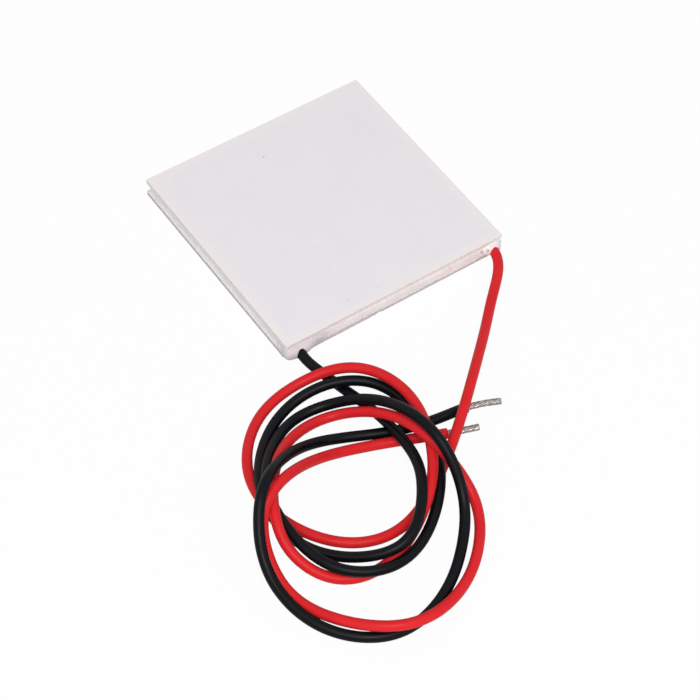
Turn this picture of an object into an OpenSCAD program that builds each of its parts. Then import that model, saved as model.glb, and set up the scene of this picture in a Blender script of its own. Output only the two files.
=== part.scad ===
// Thermoelectric cooling module: 127 couples in series between two ceramic plates, with a silicone
// seal round the edge and two insulated leads that lie in loose loops in front of the lead edge.
// The underside of the hot plate lies on z = 0, +X runs along the lead edge from the black lead to
// the red one, and +Y runs from the lead edge to the far edge.

/* [Couples] */
// Columns of legs, counted along the lead edge (even, so that both leads leave by one edge)
columns = 16; // [4:2:20]
// Rows of legs, counted from the lead edge to the far edge
rows = 16; // [4:1:24]
// Distance between the centres of neighbouring legs
pitch = 2.4; // [2:0.1:3.6]
// Side of a leg's square section
leg_w = 1.4; // [1.2:0.05:1.8]
// Height of a leg
leg_h = 1.1; // [1.1:0.05:2.5]
// Thickness of the copper tabs that join the legs
tab_t = 0.3; // [0.2:0.05:0.5]
// Thickness of the solder that tins each tab
solder_t = 0.1; // [0.05:0.01:0.2]

/* [Ceramic plates] */
// Bare border of the plates, outside the outermost legs
border = 1.3; // [1.1:0.1:4]
// Thickness of the hot plate, underneath
hot_plate_t = 0.7; // [0.5:0.05:1.5]
// Thickness of the cold plate, on top
cold_plate_t = 0.7; // [0.4:0.05:1.5]
// Radius of the plates' corners
plate_corner_r = 0.3; // [0.1:0.05:1]

/* [Edge seal] */
// Gap between the outermost legs and the seal
seal_gap = 0.15; // [0.05:0.05:0.4]
// How far the seal's lips sit inside the plates' edges, on the three edges without leads
seal_recess = 0.15; // [0.05:0.05:0.4]
// Depth of the hollow that the shrunken sealant leaves between its lips
seal_hollow = 0.3; // [0.1:0.05:0.5]
// How far the seal stands out past the lead edge
seal_bulge = 0.12; // [0.05:0.01:0.3]
// Radius of the mounds of sealant round the leads
mound_r = 1.1; // [1:0.05:1.3]

/* [Leads] */
// Diameter of the leads over their insulation
lead_d = 1.6; // [1.2:0.1:1.7]
// Diameter of the twisted and tinned core
core_d = 1; // [0.6:0.05:1.05]
// How far the insulation reaches in past the lead edge
lead_in = 0.8; // [0.5:0.05:1]
// Solder left round the core where it is joined to its tab
joint_wall = 0.15; // [0.1:0.05:0.2]

/* [Fits] */
// Clearance of the sealant round a lead, its joint and its tab
clearance = 0.05; // [0.02:0.01:0.1]

/* [Hidden] */
$fn = 48;

cells = columns * rows;
array_w = (columns - 1) * pitch + leg_w;
array_l = (rows - 1) * pitch + leg_w;
plate_w = array_w + 2 * border;
plate_l = array_l + 2 * border;
lead_edge_y = -plate_l / 2;

// Levels, from the bottom up
hot_tab_z = hot_plate_t;
hot_solder_z = hot_tab_z + tab_t;
leg_z = hot_solder_z + solder_t;
cold_solder_z = leg_z + leg_h;
cold_tab_z = cold_solder_z + solder_t;
cold_plate_z = cold_tab_z + tab_t;
gap_h = cold_plate_z - hot_plate_t;
lead_z = hot_plate_t + gap_h / 2;

// The joint at the corner cell of each lead
lead_start_y = lead_edge_y + lead_in;
tab_end_y = lead_start_y + clearance;
core_end_y = -array_l / 2 + leg_w;
joint_d = core_d + 2 * joint_wall;

// Bends of each lead from where it leaves the seal to the end of its bare tip, in order. Each is
// [x, y from the lead edge, height of the lead's underside in lead diameters].
BLACK_BENDS = [
    [-18, -2.5, 0.3], [-17, -5.5, 0], [-16, -10, 0], [-15, -15.5, 0.7], [-15, -26, 1.9],
    [-18, -32.5, 2.7], [-25.5, -40.5, 2], [-35, -32.5, -0.4], [-38.5, -25.5, 0.9],
    [-37, -17, 1.4], [-28, -7.5, -0.6], [-19.5, -7.5, 1.3], [-11.5, -11.5, 1.3],
    [-10, -20.5, 1], [-12.5, -30, 1.6], [-19.5, -37, -0.1], [-28.5, -41, 1.3],
    [-36.5, -36, 1.1], [-38, -26.5, 1.7], [-37, -18.5, 2.7], [-27, -9, -0.3],
    [-19, -10.5, 0.2], [-14, -16.5, 3.1], [-13, -28.5, 6.2], [-12.5, -35.5, 0.7],
    [-18, -42, 0.1], [-24.5, -47, 0], [-34, -49.5, 0.2], [-42.5, -42.5, 0.1],
    [-44.5, -32, 0.8], [-42, -25.5, 4], [-37.5, -21, 6.5], [-25.5, -14, -0.2],
    [-17, -19, 0.1], [-9.5, -21.5, 0], [-2.5, -22, 0.1], [2, -24, 0]
];
RED_BENDS = [
    [17.4, -2.8, 0.4], [15.5, -5, 0.2], [12, -8, 0.1], [8, -12, 0], [0.5, -19, 1.6],
    [-7, -25.5, 1], [-13.5, -30, -0.2], [-23, -35.5, 0.2], [-31.5, -33, 0.1],
    [-37, -24.5, 0], [-37.5, -14.5, 0.1], [-30, -6, 0], [-20.5, -4.5, 0.1],
    [-13, -8.5, 2.5], [-9, -17.5, 2.1], [-13, -28, 2.5], [-17.5, -33.5, 1.3],
    [-27, -39, 0.2], [-36, -37.5, -0.2], [-40.5, -29.5, 1.5], [-37.5, -22, 4.2],
    [-29.5, -13, 1.1], [-19.5, -11, -0.9], [-14.5, -19, 3], [-13, -28.5, 4.1],
    [-10.5, -36, -0.4], [-16, -43.5, 0.3], [-22.5, -48, 0], [-33.5, -50.5, 2.1],
    [-41.5, -39.5, -0.1], [-43, -31.5, 0.1], [-41, -24, 3.5], [-35, -22, 5.4],
    [-24, -17.5, -0.3], [-13, -22.5, 0.2], [-8, -24.5, 0], [-3.5, -26, 0]
];

// Number of a column as two digits
function two_digits(i) = str(i < 10 ? "0" : "", i);

// ---- The series path: cells 0 to cells - 1 run up one column and down the next ----

function cell_column(k) = floor(k / rows);
function cell_row(k) = cell_column(k) % 2 == 0 ? k % rows : rows - 1 - k % rows;
function cell_centre(k) = [
    (cell_column(k) - (columns - 1) / 2) * pitch,
    (cell_row(k) - (rows - 1) / 2) * pitch
];

black_x = cell_centre(0)[0];
red_x = cell_centre(cells - 1)[0];

module block(centre, size_x, size_y, z, h) {
    translate([centre[0] - size_x / 2, centre[1] - size_y / 2, z])
        cube([size_x, size_y, h]);
}

// A strip over cells k and k + 1, as wide as a leg
module strip_over(k, z, h) {
    a = cell_centre(k);
    b = cell_centre(k + 1);
    block((a + b) / 2, abs(b[0] - a[0]) + leg_w, abs(b[1] - a[1]) + leg_w, z, h);
}

// A strip over a lead's corner cell and the next one, drawn out to the end of the insulation
module lead_strip(x, z, h) {
    inner_y = core_end_y + pitch;
    block([x, (tab_end_y + inner_y) / 2], leg_w, inner_y - tab_end_y, z, h);
}

// The legs of one column: the odd cells of the path are p-type and the even ones n-type
module legs(column, parity) {
    first = column * rows;
    for (k = [first : first + rows - 1])
        if (k % 2 == parity && k > 0 && k < cells - 1)
            block(cell_centre(k), leg_w, leg_w, leg_z, leg_h);
}

module p_legs(column) {
    color("#5f6670") legs(column, 1);
}

module n_legs(column) {
    color("#83878f") legs(column, 0);
}

module hot_tabs() {
    color("#c8793f")
        for (k = [2 : 2 : cells - 4]) strip_over(k, hot_tab_z, tab_t);
}

module cold_tabs() {
    color("#c8793f")
        for (k = [1 : 2 : cells - 3]) strip_over(k, cold_tab_z, tab_t);
}

module hot_solder() {
    color("#b9bbbd") {
        for (k = [2 : 2 : cells - 4]) strip_over(k, hot_solder_z, solder_t);
        for (x = [black_x, red_x]) lead_strip(x, hot_solder_z, solder_t);
    }
}

module cold_solder() {
    color("#b9bbbd")
        for (k = [1 : 2 : cells - 3]) strip_over(k, cold_solder_z, solder_t);
}

// ---- Ceramic plates ----

module plate_outline() {
    square([plate_w - 2 * plate_corner_r, plate_l], center = true);
    square([plate_w, plate_l - 2 * plate_corner_r], center = true);
    for (sx = [-1, 1], sy = [-1, 1])
        translate([sx * (plate_w / 2 - plate_corner_r), sy * (plate_l / 2 - plate_corner_r)])
            circle(r = plate_corner_r);
}

module hot_plate() {
    color("#e4e1e5") linear_extrude(hot_plate_t) plate_outline();
}

module cold_plate() {
    color("#e4e1e5")
        translate([0, 0, cold_plate_z]) linear_extrude(cold_plate_t) plate_outline();
}

// ---- Leads ----

// The whole route of a lead: straight out through the seal, then along its bends
function lead_route(x, bends) = concat(
    [for (step = [0 : 2]) [x, lead_start_y - step * lead_d / 2, lead_z]],
    [for (b = bends) [b[0], lead_edge_y + b[1], lead_d * (0.5 + b[2])]]
);

// Point i of a route, with one more point in line past each end
function route_point(route, i) =
    let (last = len(route) - 1)
    i < 0 ? 2 * route[0] - route[1]
    : i > last ? 2 * route[last] - route[last - 1]
    : route[i];

// Sum of the four route points round span k, with the weights w
function weighted(route, k, w) =
    w[0] * route_point(route, k - 1) + w[1] * route_point(route, k)
    + w[2] * route_point(route, k + 1) + w[3] * route_point(route, k + 2);

// A cubic B-spline through the route and its direction, at u from 0 to len(route) - 1
function route_at(route, u) =
    let (k = min(floor(u), len(route) - 2), f = u - k)
    weighted(route, k, [
        pow(1 - f, 3), 3 * pow(f, 3) - 6 * pow(f, 2) + 4,
        -3 * pow(f, 3) + 3 * pow(f, 2) + 3 * f + 1, pow(f, 3)
    ] / 6);
function route_slope(route, u) =
    let (k = min(floor(u), len(route) - 2), f = u - k)
    weighted(route, k, [
        -pow(1 - f, 2), 3 * pow(f, 2) - 4 * f, -3 * pow(f, 2) + 2 * f + 1, pow(f, 2)
    ] / 2);

function unit(v) = v / norm(v);

// One ring of a swept tube, square to the route
function ring(route, u, d) =
    let (
        slope = route_slope(route, u),
        side = unit(cross(slope, [0, 0, 1])),
        up = unit(cross(side, slope))
    )
    [for (s = [0 : TUBE_SIDES - 1])
        let (a = (s + 0.5) * 360 / TUBE_SIDES)
        route_at(route, u) + d / 2 * (cos(a) * side + sin(a) * up)];

TUBE_SIDES = 8;

module tube(route, d, stations) {
    count = len(stations);
    rings = [for (u = stations) each ring(route, u, d)];
    sides = [
        for (r = [0 : count - 2], s = [0 : TUBE_SIDES - 1])
            let (
                a = r * TUBE_SIDES + s,
                b = r * TUBE_SIDES + (s + 1) % TUBE_SIDES
            )
            each [[a, b, b + TUBE_SIDES], [a, b + TUBE_SIDES, a + TUBE_SIDES]]
    ];
    start = [for (s = [TUBE_SIDES - 1 : -1 : 0]) s];
    end = [for (s = [0 : TUBE_SIDES - 1]) (count - 1) * TUBE_SIDES + s];
    polyhedron(points = rings, faces = concat(sides, [start, end]));
}

// Stations of the rings: one for each span in the seal, then two, up to the bare tip
SEAL_SPANS = 4;
function lead_stations(route) = concat(
    [for (u = [0 : SEAL_SPANS - 1]) u],
    [for (u = [SEAL_SPANS : 0.5 : len(route) - 2]) u]
);
function tip_stations(route) = [for (f = [0 : 2]) len(route) - 2 + f / 2];

black_route = lead_route(black_x, BLACK_BENDS);
red_route = lead_route(red_x, RED_BENDS);

module black_lead() {
    color("#1a1b20") tube(black_route, lead_d, lead_stations(black_route));
}

module red_lead() {
    color("#d81e22") tube(red_route, lead_d, lead_stations(red_route));
}

module tip(route) {
    color("#a39a96") tube(route, core_d, tip_stations(route));
}

// ---- Where a lead's core is soldered to its tab ----

module lead_tab(x) {
    color("#c8793f") lead_strip(x, hot_tab_z, tab_t);
}

module core_rod(x) {
    translate([x, lead_start_y, lead_z])
        rotate([-90, 0, 0]) cylinder(d = core_d, h = core_end_y - lead_start_y);
}

module core(x) {
    color("#b9bbbd") core_rod(x);
}

// Solder drawn up from the tab all round the core, with a round back
module joint(x) {
    foot_h = lead_z - leg_z;
    color("#b9bbbd") difference() {
        translate([x, core_end_y + joint_wall, lead_z])
            rotate([90, 0, 0]) linear_extrude(core_end_y + joint_wall - tab_end_y) {
                translate([-joint_d / 2, -foot_h]) square([joint_d, foot_h]);
                intersection() {
                    circle(d = joint_d);
                    translate([-joint_d / 2, -foot_h]) square([joint_d, joint_d]);
                }
            }
        core_rod(x);
    }
}

// ---- Edge seal ----

// The sealant in the gap, hollowed on three edges and bulged along the lead edge
module seal_bead() {
    half_w = plate_w / 2 - seal_recess;
    half_l = plate_l / 2 - seal_recess;
    hollow_r = (pow(gap_h / 2, 2) + pow(seal_hollow, 2)) / (2 * seal_hollow);
    bulge_r = (pow(gap_h / 2, 2) + pow(seal_bulge, 2)) / (2 * seal_bulge);
    difference() {
        union() {
            translate([-half_w, lead_edge_y, hot_plate_t])
                cube([2 * half_w, half_l - lead_edge_y, gap_h]);
            intersection() {
                translate([-half_w, lead_edge_y - seal_bulge, hot_plate_t])
                    cube([2 * half_w, 2 * seal_bulge, gap_h]);
                translate([-half_w, lead_edge_y - seal_bulge + bulge_r, lead_z])
                    rotate([0, 90, 0]) cylinder(r = bulge_r, h = 2 * half_w, $fn = 96);
            }
        }
        for (side = [-1, 1])
            translate([side * (half_w - seal_hollow + hollow_r), 0, lead_z])
                rotate([90, 0, 0]) cylinder(r = hollow_r, h = 2 * plate_l, center = true);
        translate([0, half_l - seal_hollow + hollow_r, lead_z])
            rotate([0, 90, 0]) cylinder(r = hollow_r, h = 2 * plate_w, center = true);
    }
}

// A mound of sealant: the skin round balls, each [x from the lead, y from the lead edge, radius]
module mound(x, balls) {
    hull()
        for (b = balls)
            translate([x + b[0], lead_edge_y + b[1], lead_z]) sphere(r = b[2], $fn = 32);
}

module black_mound() {
    mound(black_x, [
        [-1.3, 0.9, 0.85 * mound_r], [-1.35, 0, mound_r], [-0.3, -0.2, mound_r],
        [0.9, -0.1, mound_r], [4.2, 0.6, 0.8 * mound_r]
    ]);
}

module red_mound() {
    mound(red_x, [
        [1, 0.7, 0.8 * mound_r], [0.3, 0.1, 0.95 * mound_r], [-0.7, 0.2, 0.95 * mound_r],
        [-2.4, 0.7, 0.75 * mound_r]
    ]);
}

// The way through the seal for a lead's tab, joint and core
module lead_pocket(x) {
    end_y = lead_start_y - clearance;
    width = max(leg_w, joint_d) + 2 * clearance;
    translate([x - width / 2, end_y, hot_plate_t])
        cube([width, core_end_y - end_y, lead_z + joint_d / 2 + clearance - hot_plate_t]);
}

module edge_seal() {
    inner_w = array_w + 2 * seal_gap;
    inner_l = array_l + 2 * seal_gap;
    passage = [for (u = [0 : SEAL_SPANS + 1]) u];
    color("#cdc3c4") difference() {
        union() {
            seal_bead();
            black_mound();
            red_mound();
        }
        translate([-inner_w / 2, -inner_l / 2, 0]) cube([inner_w, inner_l, cold_plate_z + cold_plate_t]);
        linear_extrude(hot_plate_t) plate_outline();
        translate([0, 0, cold_plate_z]) linear_extrude(2 * cold_plate_t) plate_outline();
        for (x = [black_x, red_x]) lead_pocket(x);
        tube(black_route, lead_d + 2 * clearance, passage);
        tube(red_route, lead_d + 2 * clearance, passage);
    }
}

hot_plate();
cold_plate();
edge_seal();
hot_tabs();
cold_tabs();
hot_solder();
cold_solder();
lead_tab(black_x);  // black_lead_tab
lead_tab(red_x);  // red_lead_tab
joint(black_x);  // black_joint
joint(red_x);  // red_joint
core(black_x);  // black_core
core(red_x);  // red_core
black_lead();
red_lead();
tip(black_route);  // black_tip
tip(red_route);  // red_tip
for (i = [1 : columns])
    p_legs(i - 1);
for (i = [1 : columns])
    n_legs(i - 1);
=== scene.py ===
"""Looks of a thermoelectric cooling module: ceramic plates, sealant, looped leads and the studio.

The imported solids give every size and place. This script dresses them, and models what needs a
finer surface than a solid has: the snapped ceramic edges, the sealant and the twisted cores.
"""

from __future__ import annotations

import logging
import math
from dataclasses import dataclass
from enum import Enum
from functools import partial
from typing import Callable, Iterable, Sequence

import bpy
from mathutils import Matrix, Vector, noise

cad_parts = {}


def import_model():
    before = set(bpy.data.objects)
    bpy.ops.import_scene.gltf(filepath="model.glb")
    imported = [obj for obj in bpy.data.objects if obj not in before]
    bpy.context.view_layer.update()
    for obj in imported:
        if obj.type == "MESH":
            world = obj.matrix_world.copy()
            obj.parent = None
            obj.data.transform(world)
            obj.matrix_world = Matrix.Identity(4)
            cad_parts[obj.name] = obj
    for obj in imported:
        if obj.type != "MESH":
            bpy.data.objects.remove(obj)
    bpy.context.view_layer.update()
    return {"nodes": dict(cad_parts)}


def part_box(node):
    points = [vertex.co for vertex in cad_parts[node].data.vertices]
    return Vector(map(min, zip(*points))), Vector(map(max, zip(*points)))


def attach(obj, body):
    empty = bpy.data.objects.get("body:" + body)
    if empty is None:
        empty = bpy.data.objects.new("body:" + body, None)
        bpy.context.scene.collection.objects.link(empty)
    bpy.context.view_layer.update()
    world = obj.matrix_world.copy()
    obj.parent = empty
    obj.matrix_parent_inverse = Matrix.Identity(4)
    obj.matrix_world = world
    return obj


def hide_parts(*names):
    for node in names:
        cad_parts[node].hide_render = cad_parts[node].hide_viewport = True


LOG = logging.getLogger("thermoelectric_module")
MM = 0.001
# Vertices closer than this, in metres, are one
WELD = 1e-6
# Edges flatter than this are shaded smooth on the tubes
SMOOTH_BELOW = math.radians(50)

Material = bpy.types.Material
Node = bpy.types.Node
Object = bpy.types.Object
Socket = bpy.types.NodeSocket
Tree = bpy.types.NodeTree
Point = tuple[float, float, float]
# A ball: its x, y, z and radius, in millimetres
Ball = tuple[float, float, float, float]
# A soft patch: its x, y, z and reach, in millimetres, and its strength from 0 to 1
Spot = tuple[float, float, float, float, float]


# ---------------------------------------------------------------------------------------------
# Material helpers
# ---------------------------------------------------------------------------------------------


def linear(hex_colour: str, alpha: float = 1.0) -> tuple[float, float, float, float]:
    """Turns an sRGB hex colour into linear light.

    Args:
        hex_colour: The colour as "#rrggbb".
        alpha: The fourth channel.

    Returns:
        Red, green, blue and alpha, linear.
    """
    channels = []
    for start in (1, 3, 5):
        value = int(hex_colour[start:start + 2], 16) / 255
        channels.append(value / 12.92 if value <= 0.04045 else ((value + 0.055) / 1.055) ** 2.4)
    return (channels[0], channels[1], channels[2], alpha)


def new_material(name: str) -> tuple[Material, Tree, Node]:
    """Starts a material with one Principled shader.

    Args:
        name: The material's name.

    Returns:
        The material, its node tree and its shader.
    """
    material = bpy.data.materials.new(name)
    material.use_nodes = True
    tree = material.node_tree
    return material, tree, tree.nodes["Principled BSDF"]


def add_node(tree: Tree, kind: str, settings: dict | None = None, **links: object) -> Node:
    """Adds one node with its settings and links.

    Args:
        tree: The node tree that it goes into.
        kind: The node's type name.
        settings: Properties of the node, by name.
        **links: Input sockets by name, with spaces as underscores, or by number as "in_0". Each
            value is a socket to link from or a plain value to set.

    Returns:
        The new node.
    """
    node = tree.nodes.new(kind)
    for name, value in (settings or {}).items():
        setattr(node, name, value)
    for name, value in links.items():
        key = int(name[3:]) if name.startswith("in_") else name.replace("_", " ")
        socket = node.inputs[key]
        if isinstance(value, Socket):
            tree.links.new(value, socket)
        else:
            socket.default_value = value
    return node


def set_shader(tree: Tree, shader: Node, **values: object) -> None:
    """Sets or links a shader's inputs.

    Args:
        tree: The shader's node tree.
        shader: The shader.
        **values: Inputs by name, with spaces as underscores, each a socket or a plain value.
    """
    for name, value in values.items():
        socket = shader.inputs[name.replace("_", " ")]
        if isinstance(value, Socket):
            tree.links.new(value, socket)
        else:
            socket.default_value = value


def cloud(
    tree: Tree, place: Socket, size: float, detail: float = 2.0, roughness: float = 0.5
) -> Node:
    """Adds soft noise.

    Args:
        tree: The node tree that it goes into.
        place: The coordinates at which it is read.
        size: How far apart its lumps are, in metres.
        detail: How many finer layers lie over the lumps.
        roughness: How strong the finer layers are.

    Returns:
        The noise node.
    """
    return add_node(
        tree, "ShaderNodeTexNoise", Vector=place, Scale=1 / size, Detail=detail,
        Roughness=roughness,
    )


def remap(
    tree: Tree, amount: Socket, span: tuple[float, float],
    result: tuple[float, float] = (0.0, 1.0), curve: str = "LINEAR",
) -> Socket:
    """Maps an amount from one span of values onto another, and stops at its ends.

    Args:
        tree: The node tree.
        amount: The amount.
        span: The amounts that give the first and the last result.
        result: The first and the last result.
        curve: How it runs from one to the other.

    Returns:
        The mapped amount.
    """
    node = add_node(
        tree, "ShaderNodeMapRange", {"interpolation_type": curve}, Value=amount,
        From_Min=span[0], From_Max=span[1], To_Min=result[0], To_Max=result[1],
    )
    return node.outputs[0]


def two_tone(
    tree: Tree, amount: Socket, span: tuple[float, float], tones: tuple[str, str]
) -> Socket:
    """Runs from one colour to another while an amount crosses a span.

    Args:
        tree: The node tree.
        amount: The amount.
        span: Where the first colour ends and where the second one starts.
        tones: The two colours, as hex.

    Returns:
        The colour.
    """
    ramp = add_node(tree, "ShaderNodeValToRGB", Fac=amount)
    for stop, place, tone in zip(ramp.color_ramp.elements, span, tones):
        stop.position = place
        stop.color = linear(tone)
    return ramp.outputs["Color"]


def blend(tree: Tree, amount: Socket, under: object, over: object) -> Socket:
    """Mixes two colours.

    Args:
        tree: The node tree.
        amount: How much of the second colour shows.
        under: The first colour, as a socket or a linear colour.
        over: The second colour, likewise.

    Returns:
        The mixed colour.
    """
    node = add_node(
        tree, "ShaderNodeMix", {"data_type": "RGBA"}, in_0=amount, in_6=under, in_7=over
    )
    return node.outputs[2]


def patches(
    tree: Tree, place: Socket, colour: Socket, tone: str, spots: Iterable[Spot],
    core: float = 0.3,
) -> Socket:
    """Lays soft round patches of one tone over a colour.

    Args:
        tree: The node tree.
        place: The coordinates.
        colour: The colour underneath.
        tone: The patches' colour, as hex.
        spots: Their places, reaches and strengths.
        core: The share of the reach at which a patch starts to fade.

    Returns:
        The colour with the patches.
    """
    for x, y, z, reach, strength in spots:
        gap = add_node(
            tree, "ShaderNodeVectorMath", {"operation": "DISTANCE"}, in_0=place,
            in_1=(x * MM, y * MM, z * MM),
        )
        mask = remap(
            tree, gap.outputs["Value"], (core * reach * MM, reach * MM), (strength, 0.0)
        )
        colour = blend(tree, mask, colour, linear(tone))
    return colour


def bump(tree: Tree, height: Socket, strength: float, depth: float) -> Socket:
    """Turns a height into a fine relief.

    Args:
        tree: The node tree.
        height: The height.
        strength: How much of the relief shows.
        depth: Its full depth, in metres.

    Returns:
        The bumped normal.
    """
    node = add_node(
        tree, "ShaderNodeBump", Strength=strength, Distance=depth, Height=height
    )
    return node.outputs[0]


def dress(obj: Object, material: Material) -> None:
    """Gives an object one material all over.

    Args:
        obj: The object.
        material: Its material.
    """
    obj.data.materials.clear()
    obj.data.materials.append(material)


# ---------------------------------------------------------------------------------------------
# Mesh helpers
# ---------------------------------------------------------------------------------------------


def deselect_all() -> None:
    """Leaves object mode with nothing selected."""
    if bpy.context.object and bpy.context.object.mode != "OBJECT":
        bpy.ops.object.mode_set(mode="OBJECT")
    bpy.ops.object.select_all(action="DESELECT")


def activate(obj: Object) -> None:
    """Selects one object alone and makes it active."""
    deselect_all()
    obj.select_set(True)
    bpy.context.view_layer.objects.active = obj


def edit_mesh(obj: Object, *steps: Callable[[], object]) -> None:
    """Runs operators in edit mode, with the object's whole mesh selected at the start.

    Args:
        obj: The object.
        *steps: The operators, in order.
    """
    activate(obj)
    bpy.ops.object.mode_set(mode="EDIT")
    bpy.ops.mesh.select_all(action="SELECT")
    for step in steps:
        step()
    bpy.ops.object.mode_set(mode="OBJECT")


def apply_modifier(obj: Object, kind: str, **settings: object) -> None:
    """Adds a modifier and applies it.

    Args:
        obj: The object that gets it.
        kind: The modifier's type, such as "BEVEL".
        **settings: The modifier's properties.
    """
    activate(obj)
    modifier = obj.modifiers.new(kind.lower(), kind)
    for name, value in settings.items():
        setattr(modifier, name, value)
    bpy.ops.object.modifier_apply(modifier=modifier.name)


def copy_node(node: str, name: str) -> Object:
    """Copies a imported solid's mesh into a new, closed object.

    Args:
        node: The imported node's name.
        name: The new object's name.

    Returns:
        The new object, merged into a closed mesh.
    """
    copy = bpy.data.objects.new(name, bpy.data.objects[node].data.copy())
    bpy.context.scene.collection.objects.link(copy)
    copy.data.materials.clear()
    edit_mesh(copy, partial(bpy.ops.mesh.remove_doubles, threshold=WELD))
    return copy


# ---------------------------------------------------------------------------------------------
# Finishes
# ---------------------------------------------------------------------------------------------


@dataclass(frozen=True)
class SinteredAlumina:
    """White 96% alumina, tape cast and sintered: matt, faintly translucent and slightly mottled.

    The metal behind the plate makes its middle look cooler, and the bare border looks warmer.
    Each speck is its x, y and reach on the cold plate's face, in millimetres, and its strength.
    """

    cool: str = "#e6e3e9"
    pink: str = "#e9e4e7"
    border: str = "#ece6e5"
    speck: str = "#6f6a70"
    backed_half: float = 18.3 * MM
    border_fade: float = 1.9 * MM
    border_waver: float = 1.0 * MM
    roughness: float = 0.55
    ior: float = 1.76
    gloss: float = 0.3
    specks: tuple[tuple[float, float, float, float], ...] = (
        (-1.9, 13.9, 0.17, 0.8), (-5.5, -6.0, 0.22, 0.14), (-4.0, -6.8, 0.25, 0.12),
        (-6.2, -10.6, 0.22, 0.12), (-7.2, -17.4, 0.5, 0.12), (-1.9, -17.8, 0.2, 0.18),
    )

    def make(self, face_z: float) -> Material:
        """Builds the material.

        Args:
            face_z: The height of the cold plate's face, in millimetres.

        Returns:
            The material.
        """
        material, tree, shader = new_material("sintered_alumina")
        coords = add_node(tree, "ShaderNodeTexCoord").outputs["Object"]
        # Clouds about 5 mm across, where the sintered body is a little denser
        clouds = cloud(tree, coords, size=5 * MM, detail=3.0, roughness=0.6)
        mottle = two_tone(
            tree, clouds.outputs["Fac"], span=(0.34, 0.66), tones=(self.cool, self.pink)
        )
        # How far a point lies from the middle of the face, with lumps about 2 mm across
        away = add_node(tree, "ShaderNodeVectorMath", {"operation": "ABSOLUTE"}, in_0=coords)
        parts = add_node(tree, "ShaderNodeSeparateXYZ", Vector=away.outputs[0])
        reach = add_node(
            tree, "ShaderNodeMath", {"operation": "MAXIMUM"},
            in_0=parts.outputs["X"], in_1=parts.outputs["Y"],
        )
        waver = cloud(tree, coords, size=2 * MM)
        wavered = add_node(
            tree, "ShaderNodeMath", {"operation": "MULTIPLY_ADD"},
            in_0=waver.outputs["Fac"], in_1=self.border_waver, in_2=reach.outputs[0],
        )
        span = (self.backed_half, self.backed_half + self.border_fade)
        outside = remap(tree, wavered.outputs[0], span, curve="SMOOTHSTEP")
        colour = blend(tree, outside, mottle, linear(self.border))
        # Iron specks fired into the face
        specks = [(x, y, face_z, size, strength) for x, y, size, strength in self.specks]
        colour = patches(tree, coords, colour, self.speck, specks)
        # Grit about 0.12 mm across
        grit = cloud(tree, coords, size=0.12 * MM, detail=4.0)
        set_shader(
            tree, shader, Base_Color=colour, Roughness=self.roughness, IOR=self.ior,
            Specular_IOR_Level=self.gloss,
            Normal=bump(tree, grit.outputs["Fac"], strength=0.25, depth=0.01 * MM),
        )
        return material


@dataclass(frozen=True)
class SnappedAlumina:
    """Alumina where a plate was scored by laser and snapped: granular and dull; the hot plate's
    grey edges are painted shade.
    """

    name: str
    pale: str
    dull: str
    roughness: float = 0.75
    ior: float = 1.76
    gloss: float = 0.25

    def make(self) -> Material:
        """Builds the material."""
        material, tree, shader = new_material(self.name)
        coords = add_node(tree, "ShaderNodeTexCoord").outputs["Object"]
        # The laser's pulses are 0.15 mm apart; they are drawn at 0.5 mm, so that they show
        pulses = cloud(tree, coords, size=0.5 * MM, detail=4.0, roughness=0.7).outputs["Fac"]
        set_shader(
            tree, shader,
            Base_Color=two_tone(tree, pulses, span=(0.38, 0.62), tones=(self.dull, self.pale)),
            Roughness=self.roughness, IOR=self.ior, Specular_IOR_Level=self.gloss,
            Normal=bump(tree, pulses, strength=0.35, depth=0.03 * MM),
        )
        return material


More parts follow.
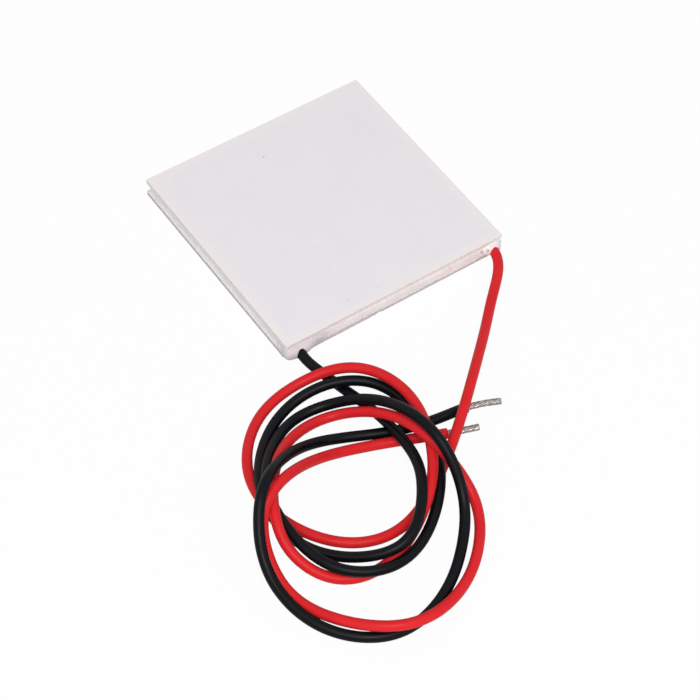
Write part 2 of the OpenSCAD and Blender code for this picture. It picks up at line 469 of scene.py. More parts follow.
@dataclass(frozen=True)
class CuredSilicone:
    """White room-temperature silicone, squeezed in and wiped by hand: smooth, rubbery, mottled.

    It is pinker along the lead edge, where flux got into it, and thicker round the black lead,
    where painted shade darkens it. Round the red lead a darker tone is laid over it.
    """

    front_pale: str = "#f0e7e6"
    front_dull: str = "#e8dfdd"
    side_pale: str = "#eeedf0"
    side_dull: str = "#e3e2e5"
    # A darker tone, laid over the mound round the red lead
    clear: str = "#dcd9e1"
    shaded: str = "#c3bbc3"
    stain: str = "#7d736c"
    front_y: float = -19.5 * MM
    front_fade: float = 0.8 * MM
    patch_waver: float = 0.3 * MM
    roughness: float = 0.5
    ior: float = 1.41
    stains: tuple[Spot, ...] = (
        (16.1, -20.1, 2.3, 0.42, 0.55), (17.0, -20.4, 2.35, 0.4, 0.6),
        (16.6, -20.1, 1.5, 0.8, 0.25), (10.2, -20.0, 2.3, 0.22, 0.6),
        (-14.5, -20.2, 2.1, 0.35, 0.2),
    )
    # A darker patch over the mound round the red lead, up into the cold plate's broken corner
    red_lead_patches: tuple[Spot, ...] = ((18.7, -20.2, 2.0, 1.8, 0.95),)
    # Painted shade: darker patches over the mound round the black lead and the seal beside it
    shades: tuple[Spot, ...] = (
        (-18.9, -20.0, 1.2, 3.4, 1.0), (-15.0, -20.1, 1.4, 2.9, 0.9),
    )

    def make(self) -> Material:
        """Builds the material."""
        material, tree, shader = new_material("cured_silicone")
        coords = add_node(tree, "ShaderNodeTexCoord").outputs["Object"]
        # Streaks about 1.6 mm across, from the nozzle and the finger that wiped it
        drag = cloud(tree, coords, size=1.6 * MM, detail=3.0).outputs["Fac"]
        front, side = (
            two_tone(tree, drag, span=(0.35, 0.62), tones=tones)
            for tones in ((self.front_dull, self.front_pale), (self.side_dull, self.side_pale))
        )
        parts = add_node(tree, "ShaderNodeSeparateXYZ", Vector=coords)
        back = remap(
            tree, parts.outputs["Y"], (self.front_y, self.front_y + self.front_fade)
        )
        colour = blend(tree, back, front, side)
        # The rims of the patches waver in lumps about 0.6 mm across
        ragged = cloud(tree, coords, size=0.6 * MM, detail=3.0)
        wobble = add_node(
            tree, "ShaderNodeVectorMath", {"operation": "MULTIPLY_ADD"},
            in_0=ragged.outputs["Color"], in_1=(self.patch_waver,) * 3, in_2=coords,
        ).outputs[0]
        for tone, spots in (
            (self.shaded, self.shades), (self.clear, self.red_lead_patches), (self.stain, self.stains),
        ):
            colour = patches(tree, wobble, colour, tone, spots)
        # A skin with dimples about 0.5 mm across
        skin = cloud(tree, coords, size=0.5 * MM)
        set_shader(
            tree, shader, Base_Color=colour, Roughness=self.roughness, IOR=self.ior,
            Normal=bump(tree, skin.outputs["Fac"], strength=0.2, depth=0.03 * MM),
        )
        return material


@dataclass(frozen=True)
class ExtrudedPvc:
    """Flexible PVC insulation as it leaves the die: smooth, soft gloss, with faint draw lines.

    It is matter in some places than in others, by as much as the spread says.
    """

    name: str
    body: str
    shade: str
    lines_round: float = 34.0
    lines_along: float = 14.0
    roughness: float = 0.36
    spread: tuple[float, float] = (-0.05, 0.08)
    ior: float = 1.53
    gloss: float = 0.1

    def make(self) -> Material:
        """Builds the material."""
        material, tree, shader = new_material(self.name)
        coords = add_node(tree, "ShaderNodeTexCoord")
        # Draw lines run along the lead and are 0.15 mm apart round it
        stretch = add_node(
            tree, "ShaderNodeMapping", Vector=coords.outputs["UV"],
            Scale=(self.lines_round, self.lines_along, 1.0),
        )
        lines = add_node(
            tree, "ShaderNodeTexNoise", Vector=stretch.outputs[0], Scale=1.0, Detail=2.0
        )
        # The mix is uneven over about 4 mm
        batch = cloud(tree, coords.outputs["Object"], size=4 * MM).outputs["Fac"]
        matt = (self.roughness + self.spread[0], self.roughness + self.spread[1])
        set_shader(
            tree, shader,
            Base_Color=blend(tree, batch, linear(self.shade), linear(self.body)),
            Roughness=remap(tree, batch, span=(0.3, 0.7), result=matt), IOR=self.ior,
            Specular_IOR_Level=self.gloss,
            Normal=bump(tree, lines.outputs["Fac"], strength=0.15, depth=0.02 * MM),
        )
        return material


@dataclass(frozen=True)
class BareMetal:
    """A metal with tarnish over it, in grains of one size, matter where it is duller."""

    name: str
    bright: str
    dull: str
    roughness: float
    grain: float
    spread: tuple[float, float] = (0.12, -0.08)

    def make(self) -> Material:
        """Builds the material."""
        material, tree, shader = new_material(self.name)
        coords = add_node(tree, "ShaderNodeTexCoord").outputs["Object"]
        tarnish = cloud(tree, coords, size=self.grain, detail=4.0, roughness=0.6).outputs["Fac"]
        matt = (self.roughness + self.spread[0], self.roughness + self.spread[1])
        set_shader(
            tree, shader,
            Base_Color=two_tone(tree, tarnish, span=(0.35, 0.65), tones=(self.dull, self.bright)),
            Roughness=remap(tree, tarnish, span=(0.3, 0.7), result=matt), Metallic=1.0,
            Normal=bump(tree, tarnish, strength=0.3, depth=self.grain / 20),
        )
        return material


BLACK_PVC = ExtrudedPvc("black_pvc", "#090a10", "#06070b")
RED_PVC = ExtrudedPvc("red_pvc", "#de2a2f", "#cd1f24")
COLD_EDGE = SnappedAlumina("snapped_alumina", "#efe6e5", "#e4dada")
# The cold plate's upper rim is drawn darker than its snapped edges, as a thin dark line round its
# face
COLD_RIM = SnappedAlumina("dark_alumina_rim", "#d4cbc8", "#c0b6b3")
# Painted shade: the hot plate's edges are drawn grey, for the shade along the bottom of the module
# under the seal
HOT_EDGE = SnappedAlumina("shaded_snapped_alumina", "#cbc6c5", "#b3aeac")
TIN = BareMetal("tinned_copper_strands", "#b0a6a4", "#6c6463", 0.4, 0.4 * MM)
COPPER = BareMetal("rolled_copper", "#c8794a", "#a85f38", 0.35, 0.8 * MM)
SOLDER = BareMetal("soft_solder", "#c4c5c7", "#9fa1a4", 0.4, 0.5 * MM)
P_TYPE = BareMetal("p_bismuth_telluride", "#767d86", "#555b64", 0.45, 0.3 * MM)
N_TYPE = BareMetal("n_bismuth_telluride", "#979ba3", "#757981", 0.45, 0.3 * MM)


# ---------------------------------------------------------------------------------------------
# Camera and studio
# ---------------------------------------------------------------------------------------------


def look_at(place: Point, target: Point) -> Matrix:
    """The matrix of a camera or lamp that stands at a place and faces a target.

    Args:
        place: Where it stands, in metres.
        target: What it faces.

    Returns:
        Its world matrix.
    """
    aim = (Vector(target) - Vector(place)).to_track_quat("-Z", "Y").to_matrix().to_4x4()
    return Matrix.Translation(place) @ aim


@dataclass(frozen=True)
class StudioCamera:
    """A long lens that looks down on the module from in front of its black-lead corner."""

    eye: Point = (-0.13683, -0.1962, 0.2755)
    aim: Point = (-0.01083, -0.02341, 0.0)
    roll_deg: float = 2.127
    lens_mm: float = 119.6
    sensor_mm: float = 36.0
    nearest: float = 0.01

    def build(self) -> None:
        """Adds the camera and makes it the scene's camera."""
        camera = bpy.data.objects.new("camera", bpy.data.cameras.new("camera"))
        bpy.context.scene.collection.objects.link(camera)
        camera.data.lens = self.lens_mm
        camera.data.sensor_width = self.sensor_mm
        camera.data.clip_start = self.nearest
        roll = Matrix.Rotation(math.radians(self.roll_deg), 4, "Z")
        camera.matrix_world = look_at(self.eye, self.aim) @ roll
        bpy.context.scene.camera = camera
        LOG.info("built %s", camera.name)


@dataclass(frozen=True)
class Lamp:
    """A square lamp: where it stands, its side in metres and its power."""

    name: str
    place: Point
    size: float
    watts: float

    def build(self, target: Point) -> None:
        """Adds the lamp.

        Args:
            target: What it faces.
        """
        data = bpy.data.lights.new(self.name, "AREA")
        data.size = self.size
        data.energy = self.watts
        lamp = bpy.data.objects.new(self.name, data)
        bpy.context.scene.collection.objects.link(lamp)
        lamp.matrix_world = look_at(self.place, target)
        LOG.info("built lamp %s", lamp.name)


@dataclass(frozen=True)
class Studio:
    """A white floor and soft lamps at a plain level."""

    floor_size: float = 6.0
    paper: str = "#e8e8e8"
    paper_roughness: float = 0.9
    # The share of plain white that the camera sees in the floor, which thins the shadow
    glow: float = 0.95
    sky: float = 0.4
    middle: Point = (-0.01, -0.023, 0.0)
    lamps: tuple[Lamp, ...] = (
        Lamp("key", (-0.295, -0.44, 0.75), 0.45, 5.75),
        Lamp("fill", (0.1, -0.5, 0.35), 0.5, 0.3),
    )

    def build(self) -> None:
        """Adds the floor, the sky and the lamps."""
        self._floor()
        self._sky()
        for lamp in self.lamps:
            lamp.build(self.middle)
        bpy.context.scene.view_settings.view_transform = "Standard"

    def _floor(self) -> None:
        """Adds a white floor that keeps a trace of the object's shadow."""
        deselect_all()
        bpy.ops.mesh.primitive_plane_add(size=self.floor_size, location=(0, 0, 0))
        floor = bpy.context.object
        floor.name = "floor"
        material, tree, shader = new_material("floor_paper")
        set_shader(
            tree, shader, Base_Color=linear(self.paper), Roughness=self.paper_roughness,
            Specular_IOR_Level=0.0,
        )
        glow = add_node(tree, "ShaderNodeEmission", Color=(1, 1, 1, 1), Strength=1.0)
        path = add_node(tree, "ShaderNodeLightPath")
        seen = add_node(
            tree, "ShaderNodeMath", {"operation": "MULTIPLY"},
            in_0=path.outputs["Is Camera Ray"], in_1=self.glow,
        )
        mix = add_node(
            tree, "ShaderNodeMixShader", in_0=seen.outputs[0], in_1=shader.outputs[0],
            in_2=glow.outputs[0],
        )
        tree.links.new(mix.outputs[0], tree.nodes["Material Output"].inputs["Surface"])
        dress(floor, material)
        LOG.info("built %s", floor.name)

    def _sky(self) -> None:
        """Lights the object evenly, and shows white behind it."""
        world = bpy.data.worlds.new("sky")
        bpy.context.scene.world = world
        world.use_nodes = True
        tree = world.node_tree
        tree.nodes.clear()
        path = add_node(tree, "ShaderNodeLightPath")
        light = add_node(tree, "ShaderNodeBackground", Color=(1, 1, 1, 1), Strength=self.sky)
        white = add_node(tree, "ShaderNodeBackground", Color=(1, 1, 1, 1), Strength=1.0)
        seen = add_node(
            tree, "ShaderNodeMath", {"operation": "MAXIMUM"},
            in_0=path.outputs["Is Camera Ray"], in_1=path.outputs["Is Glossy Ray"],
        )
        mix = add_node(
            tree, "ShaderNodeMixShader", in_0=seen.outputs[0], in_1=light.outputs[0],
            in_2=white.outputs[0],
        )
        add_node(tree, "ShaderNodeOutputWorld", Surface=mix.outputs[0])


# ---------------------------------------------------------------------------------------------
# Leads
# ---------------------------------------------------------------------------------------------

# The leads' bends in order, in metres, the same as in the part's source
BLACK_ROUTE = (
    (-0.018, -0.0192, 0.00165), (-0.018, -0.02, 0.00165), (-0.018, -0.0208, 0.00165),
    (-0.018, -0.0225, 0.00128), (-0.017, -0.0255, 0.0008), (-0.016, -0.03, 0.0008),
    (-0.015, -0.0355, 0.00192), (-0.015, -0.046, 0.00384), (-0.018, -0.0525, 0.00512),
    (-0.0255, -0.0605, 0.004), (-0.035, -0.0525, 0.00016), (-0.0385, -0.0455, 0.00224),
    (-0.037, -0.037, 0.00304), (-0.028, -0.0275, -0.00016), (-0.0195, -0.0275, 0.00288),
    (-0.0115, -0.0315, 0.00288), (-0.01, -0.0405, 0.0024), (-0.0125, -0.05, 0.00336),
    (-0.0195, -0.057, 0.00064), (-0.0285, -0.061, 0.00288), (-0.0365, -0.056, 0.00256),
    (-0.038, -0.0465, 0.00352), (-0.037, -0.0385, 0.00512), (-0.027, -0.029, 0.00032),
    (-0.019, -0.0305, 0.00112), (-0.014, -0.0365, 0.00576), (-0.013, -0.0485, 0.01072),
    (-0.0125, -0.0555, 0.00192), (-0.018, -0.062, 0.00096), (-0.0245, -0.067, 0.0008),
    (-0.034, -0.0695, 0.00112), (-0.0425, -0.0625, 0.00096), (-0.0445, -0.052, 0.00208),
    (-0.042, -0.0455, 0.0072), (-0.0375, -0.041, 0.0112), (-0.0255, -0.034, 0.00048),
    (-0.017, -0.039, 0.00096), (-0.0095, -0.0415, 0.0008), (-0.0025, -0.042, 0.00096),
    (0.002, -0.044, 0.0008),
)
RED_ROUTE = (
    (0.018, -0.0192, 0.00165), (0.018, -0.02, 0.00165), (0.018, -0.0208, 0.00165),
    (0.0174, -0.0228, 0.00144), (0.0155, -0.025, 0.00112), (0.012, -0.028, 0.00096),
    (0.008, -0.032, 0.0008), (0.0005, -0.039, 0.00336), (-0.007, -0.0455, 0.0024),
    (-0.0135, -0.05, 0.00048), (-0.023, -0.0555, 0.00112), (-0.0315, -0.053, 0.00096),
    (-0.037, -0.0445, 0.0008), (-0.0375, -0.0345, 0.00096), (-0.03, -0.026, 0.0008),
    (-0.0205, -0.0245, 0.00096), (-0.013, -0.0285, 0.0048), (-0.009, -0.0375, 0.00416),
    (-0.013, -0.048, 0.0048), (-0.0175, -0.0535, 0.00288), (-0.027, -0.059, 0.00112),
    (-0.036, -0.0575, 0.00048), (-0.0405, -0.0495, 0.0032), (-0.0375, -0.042, 0.00752),
    (-0.0295, -0.033, 0.00256), (-0.0195, -0.031, -0.00064), (-0.0145, -0.039, 0.0056),
    (-0.013, -0.0485, 0.00736), (-0.0105, -0.056, 0.00016), (-0.016, -0.0635, 0.00128),
    (-0.0225, -0.068, 0.0008), (-0.0335, -0.0705, 0.00416), (-0.0415, -0.0595, 0.00064),
    (-0.043, -0.0515, 0.00096), (-0.041, -0.044, 0.0064), (-0.035, -0.042, 0.00944),
    (-0.024, -0.0375, 0.00032), (-0.013, -0.0425, 0.00112), (-0.008, -0.0445, 0.0008),
    (-0.0035, -0.046, 0.0008),
)


# Closely spaced steps to a span of a route, and the fewest in all
STEPS_PER_SPAN = 40
FEWEST_STEPS = 64


@dataclass(frozen=True)
class Route:
    """A cubic B-spline through a lead's points. A place u on it counts spans from its start."""

    points: tuple[Point, ...]

    def _point(self, i: int) -> Vector:
        """Point i, with one more in line past each end."""
        last = len(self.points) - 1
        if i < 0:
            return 2 * Vector(self.points[0]) - Vector(self.points[1])
        if i > last:
            return 2 * Vector(self.points[last]) - Vector(self.points[last - 1])
        return Vector(self.points[i])

    def _blend(self, u: float, weights: Callable[[float], Sequence[float]]) -> Vector:
        """Sums the four points round u.

        Args:
            u: The place.
            weights: Gives the four weights at a fraction of a span.

        Returns:
            The weighted sum.
        """
        k = min(int(u), len(self.points) - 2)
        total = Vector()
        for j, weight in enumerate(weights(u - k)):
            total += weight * self._point(k - 1 + j)
        return total

    def _steps(self, first: float, last: float) -> list[float]:
        """Closely spaced places from u = first to u = last."""
        count = max(FEWEST_STEPS, int((last - first) * STEPS_PER_SPAN))
        return [first + (last - first) * i / count for i in range(count + 1)]

    def at(self, u: float) -> Vector:
        """The point of the centreline at u."""
        return self._blend(u, lambda f: (
            (1 - f) ** 3 / 6, (3 * f ** 3 - 6 * f ** 2 + 4) / 6,
            (-3 * f ** 3 + 3 * f ** 2 + 3 * f + 1) / 6, f ** 3 / 6,
        ))

    def slope(self, u: float) -> Vector:
        """The direction of the centreline at u."""
        return self._blend(u, lambda f: (
            -(1 - f) ** 2 / 2, (3 * f ** 2 - 4 * f) / 2, (-3 * f ** 2 + 2 * f + 1) / 2, f ** 2 / 2,
        )).normalized()

    def length(self, first: float, last: float) -> float:
        """The length from u = first to u = last, in metres."""
        points = [self.at(u) for u in self._steps(first, last)]
        return sum((b - a).length for a, b in zip(points, points[1:]))

    def stations(self, first: float, last: float, step: float) -> list[float]:
        """Places along the route that are evenly spaced by length.

        Args:
            first: The u of the first one.
            last: The u of the last one.
            step: The spacing, in metres.

        Returns:
            The u of each station.
        """
        steps = self._steps(first, last)
        run = [0.0]
        for a, b in zip(steps, steps[1:]):
            run.append(run[-1] + (self.at(b) - self.at(a)).length)
        count = max(2, round(run[-1] / step))
        places = []
        i = 0
        for n in range(count + 1):
            goal = run[-1] * n / count
            while i < len(steps) - 2 and run[i + 1] < goal:
                i += 1
            share = (goal - run[i]) / (run[i + 1] - run[i])
            places.append(steps[i] + (steps[i + 1] - steps[i]) * min(share, 1.0))
        return places

    def around(self, u: float, radius: float, turn: float) -> Vector:
        """A point beside the centreline.

        Args:
            u: The place along the route.
            radius: The distance from the centreline.
            turn: The angle round it, in radians.

        Returns:
            The point.
        """
        slope = self.slope(u)
        side = slope.cross(Vector((0, 0, 1))).normalized()
        up = side.cross(slope)
        return self.at(u) + radius * (math.cos(turn) * side + math.sin(turn) * up)


def wrap_grid(
    name: str, around: int, along: int, place: Callable[[float, int], Vector]
) -> Object:
    """Wraps a flat grid into a closed tube and keeps the grid's UV map.

    Args:
        name: The object's name.
        around: Faces round the tube.
        along: Rings of faces along the tube.
        place: Gives the point at a turn from 0 to 1 and a ring number.

    Returns:
        The tube, with both ends closed.
    """
    deselect_all()
    bpy.ops.mesh.primitive_grid_add(
        x_subdivisions=around, y_subdivisions=along, size=2, location=(0, 0, 0)
    )
    tube = bpy.context.object
    tube.name = name
    for vertex in tube.data.vertices:
        turn = (vertex.co.x + 1) / 2
        ring = round((vertex.co.y + 1) / 2 * along)
        vertex.co = place(turn, ring)
    edit_mesh(
        tube,
        partial(bpy.ops.mesh.remove_doubles, threshold=WELD),
        partial(bpy.ops.mesh.select_all, action="DESELECT"),
        bpy.ops.mesh.select_non_manifold,
        bpy.ops.mesh.edge_face_add,
        partial(bpy.ops.mesh.select_all, action="SELECT"),
        partial(bpy.ops.mesh.normals_make_consistent, inside=False),
    )
    bpy.ops.object.shade_smooth_by_angle(angle=SMOOTH_BELOW)
    return tube


@dataclass
class Lead:
    """One insulated lead with its stripped and tinned end."""

    name: str
    points: tuple[Point, ...]
    insulation: ExtrudedPvc
    diameter: float = 1.6 * MM
    core: float = 1.0 * MM
    sides: int = 20
    step: float = 0.75 * MM
    # How uneven the skin is, as a share of its radius, and the size of its lumps
    uneven: float = 0.012
    lump: float = 2.5 * MM
    # The cut end: how far back along the route each ring is, in spans, and its share of the radius
    cut: tuple[tuple[float, float], ...] = (
        (0.006, 1.0), (0.001, 0.985), (0.0, 0.95), (0.0, 0.75),
    )
    # The cut end closes inside the strands, at this share of their thickness
    closed: float = 0.45
    strands: int = 7
    faces_a_strand: int = 8
    # The length in which the strands turn once, and the spacing of their rings
    twist: float = 7 * MM
    tip_step: float = 0.12 * MM
    # The depth of the grooves and the unevenness, as shares of the bundle's radius
    groove: float = 0.14
    tip_uneven: float = 0.03
    # The lumps round one turn of the bundle, and to each metre of it
    tip_lumps: tuple[float, float] = (9, 900)
    # How far the bundle reaches into the insulation, in spans, and its share of the radius there
    tucked: tuple[float, float] = (0.05, 0.97)
    # The shares of the radius that close its cut end, which is nearly flat
    tip_cut: tuple[float, ...] = (0.86, 0.5, 0.2)
    path_step: float = 2 * MM

    def __post_init__(self) -> None:
        """Works out the route and where the bare end starts and stops."""
        self.route = Route(self.points)
        self.bare_from = len(self.points) - 2.0
        self.bare_to = len(self.points) - 1.0
        # The lead leaves the seal at its third point
        self.exit = 2.0

    def build(self, tin: Material) -> None:
        """Args:
            tin: The material of the tinned strands.
        """
        jacket = self._jacket()
        dress(jacket, self.insulation.make())
        tip = self._tip()
        dress(tip, tin)
        for piece, node in ((jacket, f"{self.name}_lead"), (tip, f"{self.name}_tip")):
            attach(piece, "root")
            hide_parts(node)
            LOG.info("built %s", piece.name)
        stations = self.route.stations(0, self.bare_from, self.path_step)
        path = [tuple(self.route.at(u)) for u in stations]
        tuple(self.route.at(self.exit))
        self.route.length(0, self.bare_from)

    def _jacket(self) -> Object:
        """The insulation, with a slightly rounded rim and an annular cut end."""
        radius = self.diameter / 2
        stations = self.route.stations(0, self.bare_from, self.step)
        end = stations[-1]
        profile = [(u, radius) for u in stations[:-1]]
        profile += [(end - back, share * radius) for back, share in self.cut]
        profile.append((end, self.closed * self.core))

        def place(turn: float, ring: int) -> Vector:
            """A point of the skin."""
            u, r = profile[ring]
            seed = self.route.at(u) / self.lump + Vector((math.cos(math.tau * turn), 0, 0))
            r *= 1 + self.uneven * noise.noise(seed)
            return self.route.around(u, r, math.tau * turn)

        return wrap_grid(f"{self.name}_insulation", self.sides, len(profile) - 1, place)

    def _tip(self) -> Object:
        """The bare end: strands twisted together and run full of tin."""
        stations = self.route.stations(self.bare_from, self.bare_to, self.tip_step)
        start, end = stations[0], stations[-1]
        inside, share_inside = self.tucked
        profile = [(start - inside, share_inside)] + [(u, 1.0) for u in stations]
        profile += [(end, share) for share in self.tip_cut]
        length = self.route.length(self.bare_from, self.bare_to)
        span = self.bare_to - self.bare_from
        lumps_round, lumps_along = self.tip_lumps

        def place(turn: float, ring: int) -> Vector:
            """A point of the bundle: round strands, with the grooves part filled."""
            u, share = profile[ring]
            along = (u - start) / span * length
            lobe = abs(math.cos(self.strands * math.pi * turn))
            seed = Vector((turn * lumps_round, along * lumps_along, 1.7))
            lumps = self.tip_uneven * noise.noise(seed)
            r = self.core / 2 * (1 - self.groove + self.groove * lobe + lumps) * share
            return self.route.around(u, r, math.tau * (turn + along / self.twist))

        around = self.faces_a_strand * self.strands
        return wrap_grid(f"{self.name}_strands", around, len(profile) - 1, place)


# ---------------------------------------------------------------------------------------------
# Module body
# ---------------------------------------------------------------------------------------------


class PlateSide(Enum):
    """Which of the two plates, by the name of its solid."""

    HOT = "hot_plate"
    COLD = "cold_plate"


@dataclass(frozen=True)
class Chip:
    """A bite out of a ceramic edge, in millimetres: its middle, its three radii and its turn.

    It is a ball that is rough by a share of its radius, with so many lumps to a radius.
    """

    middle: Point
    radii: Point
    turn_deg: float = 0.0
    rough: float = 0.22
    lumps: float = 2.3

    def cutter(self) -> Object:
        """A rough ball in the shape of the bite."""
        deselect_all()
        bpy.ops.mesh.primitive_ico_sphere_add(subdivisions=3, radius=1.0, location=(0, 0, 0))
        ball = bpy.context.object
        turn = Matrix.Rotation(math.radians(self.turn_deg), 3, "Z")
        for vertex in ball.data.vertices:
            seed = vertex.co * self.lumps + Vector(self.middle)
            rough = 1 + self.rough * noise.noise(seed)
            scaled = Vector(c * r for c, r in zip(vertex.co * rough, self.radii))
            vertex.co = (turn @ scaled + Vector(self.middle)) * MM
        return ball


HOT_CHIPS = (
    # The broken corner at the black lead, then notches along the front and back edges
    Chip((-20.35, -20.35, 0.2), (1.5, 1.05, 1.1), 45.0),
    Chip((-3.2, -20.2, -0.05), (0.75, 0.42, 0.42)),
    Chip((-4.3, -20.15, 0.0), (0.5, 0.25, 0.2)),
    Chip((6.1, -20.1, 0.0), (0.3, 0.16, 0.16)),
    Chip((13.4, 20.1, 0.0), (0.35, 0.2, 0.2)),
)
COLD_CHIPS = (
    # The chipped corner at the red lead, then a nick in the back edge
    Chip((20.35, -20.35, 2.52), (2.6, 1.25, 0.62), 35.0),
    Chip((-9.6, 20.1, 2.6), (0.4, 0.2, 0.18)),
)


@dataclass(frozen=True)
class CeramicPlate:
    """One ceramic plate with its rim, its snapped edges and the places where it is broken."""

    side: PlateSide
    chips: tuple[Chip, ...]
    rim: float = 0.07 * MM
    # Faces that meet at less than the first angle are merged; the rim breaks edges over the second
    merge_below: float = math.radians(1)
    break_above: float = math.radians(60)
    # How upright a normal has to be for a face, and how much it rises for the upper rim
    flat: float = 0.98
    rising: float = 0.1

    def build(self, face: Material, edge: Material, rim: Material) -> None:
        """Models the plate from its solid.

        Args:
            face: The material of its two faces.
            edge: The material of its snapped edges.
            rim: The material of its upper rim.
        """
        plate = copy_node(self.side.value, self.side.value.replace("plate", "ceramic"))
        edit_mesh(plate, partial(bpy.ops.mesh.dissolve_limited, angle_limit=self.merge_below))
        apply_modifier(
            plate, "BEVEL", width=self.rim, segments=1, limit_method="ANGLE",
            angle_limit=self.break_above, use_clamp_overlap=False,
        )
        for finish in (face, edge, rim):
            plate.data.materials.append(finish)
        for polygon in plate.data.polygons:
            rise = polygon.normal.z
            polygon.material_index = 0 if abs(rise) > self.flat else 2 if rise > self.rising else 1
        for chip in self.chips:
            bite = chip.cutter()
            dress(bite, edge)
            apply_modifier(
                plate, "BOOLEAN", object=bite, operation="DIFFERENCE", solver="EXACT",
                material_mode="TRANSFER",
            )
            bpy.data.objects.remove(bite)
        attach(plate, "root")
        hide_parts(self.side.value)
        LOG.info("built %s", plate.name)


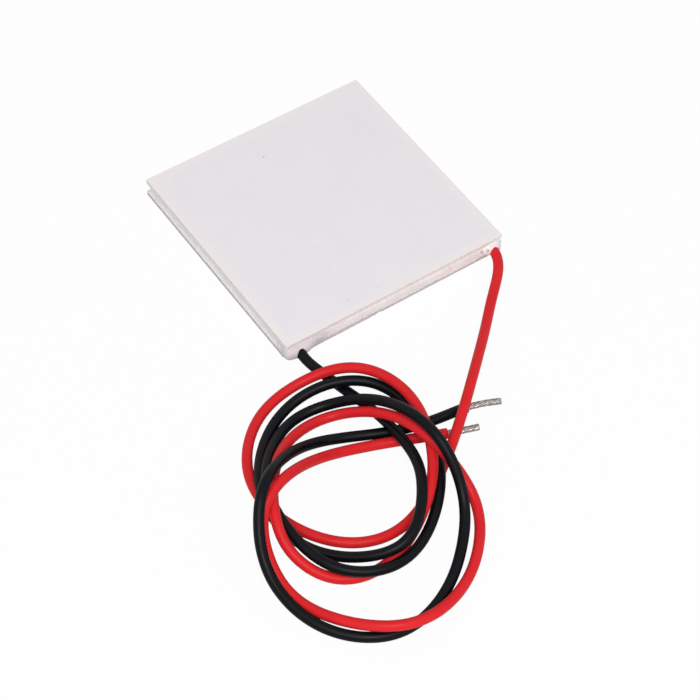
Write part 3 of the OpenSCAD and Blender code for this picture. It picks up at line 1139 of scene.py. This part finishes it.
@dataclass(frozen=True)
class EdgeSeal:
    """The sealant in the gap, the mounds round the leads and what was smeared over the edges.

    Each mound is the skin round its balls.
    """

    grain: float = 0.13 * MM
    # How far the skin wavers, the sizes of its lumps and dimples, and the dimples' share of it
    waver: float = 0.025 * MM
    lump: float = 1.3 * MM
    dimple: float = 0.5 * MM
    dimple_share: float = 0.4
    mounds: tuple[tuple[Ball, ...], ...] = (
        # Round the black lead and the broken corner of the hot plate
        (
            (-19.3, -18.2, 1.35, 0.95), (-19.2, -18.85, 1.3, 1.08), (-18.6, -19.2, 1.3, 1.12),
            (-17.5, -19.6, 1.3, 1.14), (-16.7, -19.6, 1.35, 1.1),
        ),
        ((-16.7, -19.6, 1.35, 1.1), (-14.7, -19.7, 1.45, 0.72), (-13.0, -19.75, 1.5, 0.4)),
        # Round the red lead, and up into the broken corner of the cold plate
        (
            (19.25, -19.4, 1.75, 0.85), (18.6, -19.85, 1.75, 1.05), (17.6, -19.95, 1.7, 1.05),
            (19.0, -19.4, 2.3, 0.72),
        ),
        ((17.6, -19.9, 1.7, 1.0), (16.7, -19.5, 1.6, 0.55)),
    )
    # Sealant wiped down over the hot plate's front edge: from x, to x and down to z, in
    # millimetres. Then how far it stands off the edge and reaches up into the seal, how far its
    # lower rim wavers, the size of the rim's lumps, and the steps along it
    smears: tuple[tuple[float, float, float], ...] = ((-2.4, 17.5, 0.62), (10.5, 15.0, 0.56))
    smear_out: float = 0.1 * MM
    smear_up: float = 0.3 * MM
    smear_waver: float = 0.12 * MM
    smear_lump: float = 1.1 * MM
    smear_steps: int = 60

    def build(self, silicone: Material) -> None:
        """Models the sealant from its solid, with the mounds and smears run into it.

        Args:
            silicone: Its material.
        """
        seal = copy_node("edge_seal", "sealant")
        extras = [self._mound(balls) for balls in self.mounds]
        extras += [self._smear(*smear) for smear in self.smears]
        deselect_all()
        for extra in extras:
            extra.select_set(True)
        seal.select_set(True)
        bpy.context.view_layer.objects.active = seal
        bpy.ops.object.join()
        apply_modifier(seal, "REMESH", mode="VOXEL", voxel_size=self.grain)
        apply_modifier(seal, "SMOOTH", factor=0.5, iterations=5)
        normals = [vertex.normal.copy() for vertex in seal.data.vertices]
        for vertex, normal in zip(seal.data.vertices, normals):
            dimple = self.dimple_share * noise.noise(vertex.co / self.dimple)
            vertex.co += normal * (noise.noise(vertex.co / self.lump) + dimple) * self.waver
        activate(seal)
        bpy.ops.object.shade_smooth()
        dress(seal, silicone)
        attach(seal, "root")
        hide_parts("edge_seal")
        LOG.info("built %s, %d faces", seal.name, len(seal.data.polygons))

    @staticmethod
    def _mound(balls: Sequence[Ball]) -> Object:
        """The skin round some balls."""
        deselect_all()
        pieces = []
        for x, y, z, radius in balls:
            bpy.ops.mesh.primitive_ico_sphere_add(
                subdivisions=3, radius=radius * MM, location=(x * MM, y * MM, z * MM)
            )
            pieces.append(bpy.context.object)
        for piece in pieces:
            piece.select_set(True)
        bpy.ops.object.join()
        mound = bpy.context.object
        bpy.ops.object.transform_apply(location=True, rotation=True, scale=True)
        edit_mesh(mound, bpy.ops.mesh.convex_hull)
        return mound

    def _smear(self, first: float, last: float, down_to: float) -> Object:
        """A thin layer over the hot plate's front edge, with a ragged lower rim.

        Args:
            first: Where it starts along the edge, in millimetres.
            last: Where it ends.
            down_to: The height of its lower rim, in millimetres.

        Returns:
            The layer, closed.
        """
        low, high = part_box(PlateSide.HOT.value)
        front = low[1] - self.smear_out
        bottom, top = down_to * MM, high[2] + self.smear_up
        deselect_all()
        bpy.ops.mesh.primitive_grid_add(
            x_subdivisions=self.smear_steps, y_subdivisions=1, size=2, location=(0, 0, 0)
        )
        strip = bpy.context.object
        for vertex in strip.data.vertices:
            across, up = vertex.co.x, vertex.co.y
            x = (first + last) / 2 * MM + across * ((last - first) * MM) / 2
            z = (top + bottom) / 2 + up * (top - bottom) / 2
            if up < 0:
                z += self.smear_waver * noise.noise(Vector((x / self.smear_lump, down_to, 0.0)))
            vertex.co = (x, front, z)
        apply_modifier(strip, "SOLIDIFY", thickness=4 * self.smear_out, offset=-1.0)
        edit_mesh(strip, partial(bpy.ops.mesh.normals_make_consistent, inside=False))
        return strip


# ---------------------------------------------------------------------------------------------
# The whole module
# ---------------------------------------------------------------------------------------------


def build_body() -> None:
    """Models the seal and the two plates from their solids."""
    EdgeSeal().build(CuredSilicone().make())
    face_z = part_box(PlateSide.COLD.value)[1][2] / MM
    alumina = SinteredAlumina().make(face_z)
    hot_edge = HOT_EDGE.make()
    CeramicPlate(PlateSide.HOT, HOT_CHIPS).build(alumina, hot_edge, hot_edge)
    CeramicPlate(PlateSide.COLD, COLD_CHIPS).build(alumina, COLD_EDGE.make(), COLD_RIM.make())


def dress_inside(frame: dict, tin: Material) -> None:
    """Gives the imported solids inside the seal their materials.

    Args:
        frame: The loaded frame.
        tin: The material of the leads' cores.
    """
    finishes = (
        (COPPER.make(), ("hot_tabs", "cold_tabs", "black_lead_tab", "red_lead_tab")),
        (SOLDER.make(), ("hot_solder", "cold_solder", "black_joint", "red_joint")),
        (tin, ("black_core", "red_core")),
        (P_TYPE.make(), [name for name in frame["nodes"] if name.startswith("p_legs")]),
        (N_TYPE.make(), [name for name in frame["nodes"] if name.startswith("n_legs")]),
    )
    for material, nodes in finishes:
        for node in nodes:
            dress(frame["nodes"][node], material)
            LOG.info("dressed %s with %s", node, material.name)


def main() -> None:
    """Builds the camera, the leads, the module and the studio."""
    logging.basicConfig(level=logging.INFO, format="%(message)s")
    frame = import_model()
    StudioCamera().build()
    tin = TIN.make()
    Lead("black", BLACK_ROUTE, BLACK_PVC).build(tin)
    Lead("red", RED_ROUTE, RED_PVC).build(tin)
    build_body()
    dress_inside(frame, tin)
    Studio().build()


if __name__ == "__main__":
    main()
